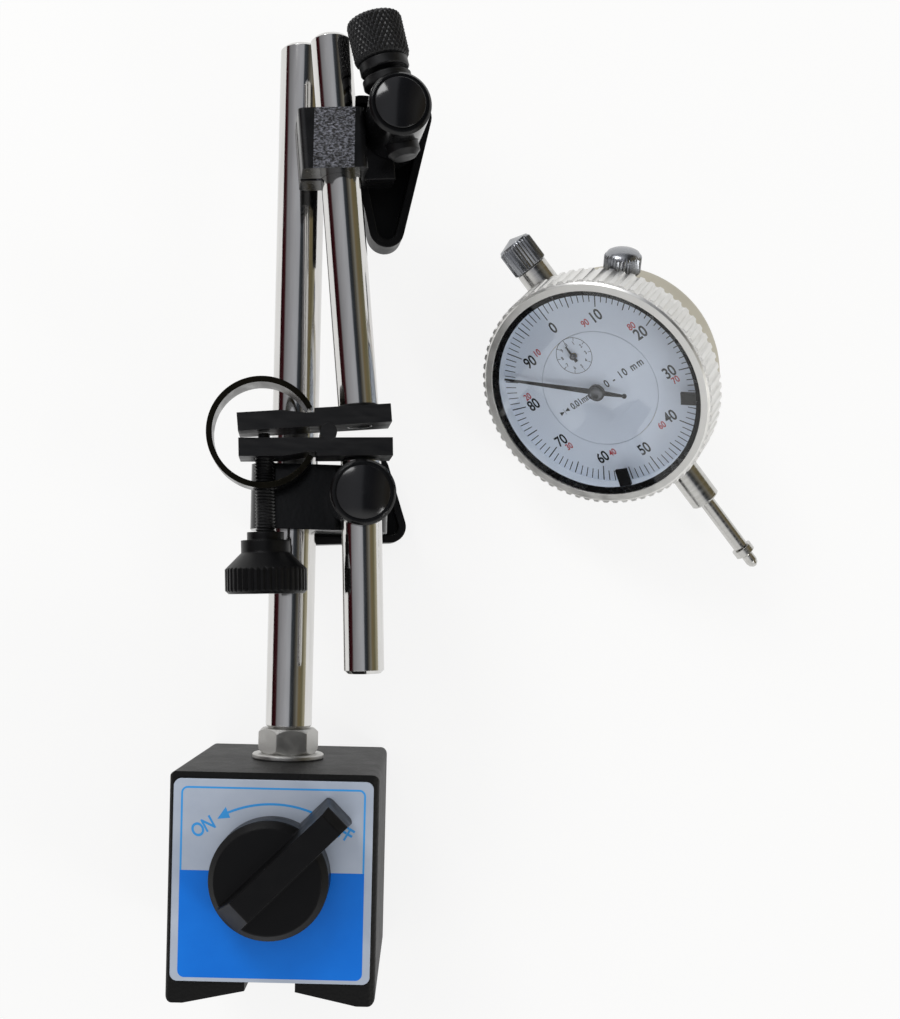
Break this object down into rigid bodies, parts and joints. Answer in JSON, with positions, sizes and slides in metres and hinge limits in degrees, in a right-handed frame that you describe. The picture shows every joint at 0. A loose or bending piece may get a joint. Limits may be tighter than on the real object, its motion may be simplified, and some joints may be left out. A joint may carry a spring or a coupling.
{
  "type": "dial indicator with magnetic base",
  "caption": "Dial indicator with plunger, rotating bezel and lug, beside a folded magnetic stand: switched V base, column, cross clamp, fine-adjust arm and holder.",
  "frame": {"origin": "centre of the back face of the magnetic base, which lies on the bench", "axes": "+Y up the column away from the magnet face, +Z away from the bench towards the switch side, +X to the right seen from the switch side"},
  "size_m": [0.1506, 0.2395, 0.076],
  "materials": {
    "crackle_paint": "black crackle paint",
    "gloss_paint": "glossy black paint",
    "black_plastic": "moulded black plastic",
    "black_hand": "black lacquer",
    "chrome": "polished chrome plate",
    "steel": "turned and plated steel",
    "black_steel": "blackened",
    "satin_aluminium": "satin anodised",
    "brass": "machined",
    "ferrite": "sintered",
    "label": "printed foil plate",
    "dial": "printed matt white",
    "crystal": "clear moulded window"
  },
  "bodies": {
    "base": {"pole_left": "crackle_paint", "pole_right": "crackle_paint", "spacer_top": "brass", "spacer_bottom": "brass", "front_cover": "steel", "rear_cover": "steel", "label_plate": "label", "column": "chrome", "column_nut": "steel", "column_washer": "steel"},
    "switch": {"switch_knob": "black_plastic", "magnet_rotor": "ferrite"},
    "cross_block": {"cross_block": "gloss_paint"},
    "cross_sleeve": {"cross_sleeve": "gloss_paint", "cross_cap": "black_plastic"},
    "cross_lever": {"cross_lever": "black_plastic"},
    "lower_arm": {"stub_rod": "chrome", "lower_bar": "black_steel", "pivot_roller": "black_steel", "c_spring": "black_steel"},
    "upper_arm": {"upper_bar": "black_steel", "upper_rod": "chrome"},
    "fine_screw": {"fine_screw": "black_steel"},
    "fine_knob": {"fine_knob": "black_plastic"},
    "holder_block": {"holder_block": "gloss_paint"},
    "holder_sleeve": {"holder_sleeve": "gloss_paint", "holder_cap": "black_plastic", "lug_stud": "black_steel", "lug_washer": "black_steel"},
    "holder_lever": {"holder_lever": "black_plastic"},
    "lug_nut": {"lug_nut": "black_steel"},
    "indicator": {"case": "satin_aluminium", "back_cover": "satin_aluminium", "back_screws": "steel", "stem_bush": "steel", "cap_neck": "steel", "dust_cap": "steel", "lower_plate": "brass", "upper_plate": "brass", "plate_pillars": "brass", "dial_centre": "dial"},
    "main_hand": {"main_hand": "black_hand", "centre_pinion": "steel"},
    "plunger": {"plunger": "steel", "contact_point": "chrome"},
    "rack_wheel": {"rack_wheel": "brass", "counter_hand": "black_hand"},
    "takeup_wheel": {"takeup_wheel": "brass"},
    "bezel": {"bezel": "satin_aluminium", "crystal": "crystal", "bezel_ring": "black_plastic", "dial_ring": "dial"},
    "limit_marker_low": {"limit_marker_low": "black_plastic"},
    "limit_marker_high": {"limit_marker_high": "black_plastic"},
    "bezel_clamp_screw": {"bezel_clamp_screw": "steel"}
  },
  "joints": [
    {"name": "switch_turn", "type": "hinge", "parent": "base", "child": "switch", "pos_m": [0, 0.0035, 0], "axis": [0, 0, 1], "range_deg": [0, 90]},
    {"name": "cross_slide", "type": "slide", "parent": "base", "child": "cross_block", "axis": [0, 1, 0], "range_m": [-0.018, 0.09]},
    {"name": "cross_sleeve_turn", "type": "hinge", "parent": "cross_block", "child": "cross_sleeve", "pos_m": [0.01641, 0.095, 0.02828], "axis": [0.1045, 0, 0.9945], "range_deg": [-15, 0]},
    {"name": "cross_lever_turn", "type": "hinge", "parent": "cross_block", "child": "cross_lever", "pos_m": [0.01641, 0.095, 0.02828], "axis": [0.1045, 0, 0.9945], "range_deg": [-40, 40]},
    {"name": "stub_slide", "type": "slide", "parent": "cross_sleeve", "child": "lower_arm", "axis": [-0.0382, 0.9993, 0.004], "range_m": [0, 0.03]},
    {"name": "fine_tilt", "type": "hinge", "parent": "lower_arm", "child": "upper_arm", "pos_m": [0.00998, 0.10953, 0.04906], "axis": [0.1045, 0, 0.9945], "range_deg": [-5, 0]},
    {"name": "fine_screw_advance", "type": "slide", "parent": "lower_arm", "child": "fine_screw", "axis": [-0.0382, 0.9993, 0.004], "range_m": [-0.0005, 0.003]},
    {"name": "fine_knob_turn", "type": "hinge", "parent": "fine_screw", "child": "fine_knob", "pos_m": [-0.00495, 0.09409, 0.05063], "axis": [-0.0382, 0.9993, 0.004], "range_deg": [-10, 623]},
    {"name": "holder_swing", "type": "hinge", "parent": "upper_arm", "child": "holder_block", "pos_m": [0.01113, 0.17978, 0.04894], "axis": [-0.097, 0.9952, 0.0102], "range_deg": [-90, 0]},
    {"name": "holder_sleeve_turn", "type": "hinge", "parent": "holder_block", "child": "holder_sleeve", "pos_m": [0.02403, 0.18608, 0.04699], "axis": [0.1476, 0.0043, 0.989], "range_deg": [-36, 0]},
    {"name": "holder_lever_turn", "type": "hinge", "parent": "holder_block", "child": "holder_lever", "pos_m": [0.02403, 0.18608, 0.04699], "axis": [0.1476, 0.0043, 0.989], "range_deg": [0, 26]},
    {"name": "lug_nut_turn", "type": "hinge", "parent": "holder_sleeve", "child": "lug_nut", "pos_m": [0.02506, 0.18611, 0.05391], "axis": [-0.2498, 0.9677, 0.0331], "continuous": true},
    {"name": "indicator_lift", "type": "slide", "parent": "base", "child": "indicator", "axis": [0, 0, 1], "range_m": [0, 0.12]},
    {"name": "hand_turn", "type": "hinge", "parent": "indicator", "child": "main_hand", "pos_m": [0.079, 0.1255, 0.03119], "axis": [0.4238, 0.5424, -0.7254], "range_deg": [0, 3600]},
    {"name": "plunger_slide", "type": "slide", "parent": "indicator", "child": "plunger", "axis": [-0.64, 0.746, 0.184], "range_m": [0, 0.01], "stiffness_N_per_m": 40, "springref_m": -0.012},
    {"name": "rack_wheel_turn", "type": "hinge", "parent": "indicator", "child": "rack_wheel", "pos_m": [0.072, 0.13366, 0.0332], "axis": [0.4238, 0.5424, -0.7254], "range_deg": [-361, 1]},
    {"name": "takeup_wheel_turn", "type": "hinge", "parent": "indicator", "child": "takeup_wheel", "pos_m": [0.086, 0.11734, 0.02918], "axis": [0.4238, 0.5424, -0.7254], "range_deg": [-361, 1]},
    {"name": "bezel_turn", "type": "hinge", "parent": "indicator", "child": "bezel", "pos_m": [0.079, 0.1255, 0.03119], "axis": [-0.4238, -0.5424, 0.7254], "continuous": true},
    {"name": "limit_low_turn", "type": "hinge", "parent": "bezel", "child": "limit_marker_low", "pos_m": [0.079, 0.1255, 0.03119], "axis": [-0.4238, -0.5424, 0.7254], "range_deg": [-25, 60]},
    {"name": "limit_high_turn", "type": "hinge", "parent": "bezel", "child": "limit_marker_high", "pos_m": [0.079, 0.1255, 0.03119], "axis": [-0.4238, -0.5424, 0.7254], "range_deg": [-60, 25]},
    {"name": "bezel_clamp_turn", "type": "hinge", "parent": "indicator", "child": "bezel_clamp_screw", "pos_m": [0.08281, 0.13038, 0.02466], "axis": [-0.0152, 0.805, 0.5931], "range_deg": [-180, 180]}
  ],
  "couplings": [
    {"joint": "fine_screw_advance", "follows": "fine_tilt", "m_per_rad": -0.0156},
    {"joint": "fine_knob_turn", "follows": "fine_tilt", "ratio": -122.52},
    {"joint": "hand_turn", "follows": "plunger_slide", "rad_per_m": 6283.2},
    {"joint": "rack_wheel_turn", "follows": "plunger_slide", "rad_per_m": -628.32},
    {"joint": "takeup_wheel_turn", "follows": "plunger_slide", "rad_per_m": -628.32}
  ]
}
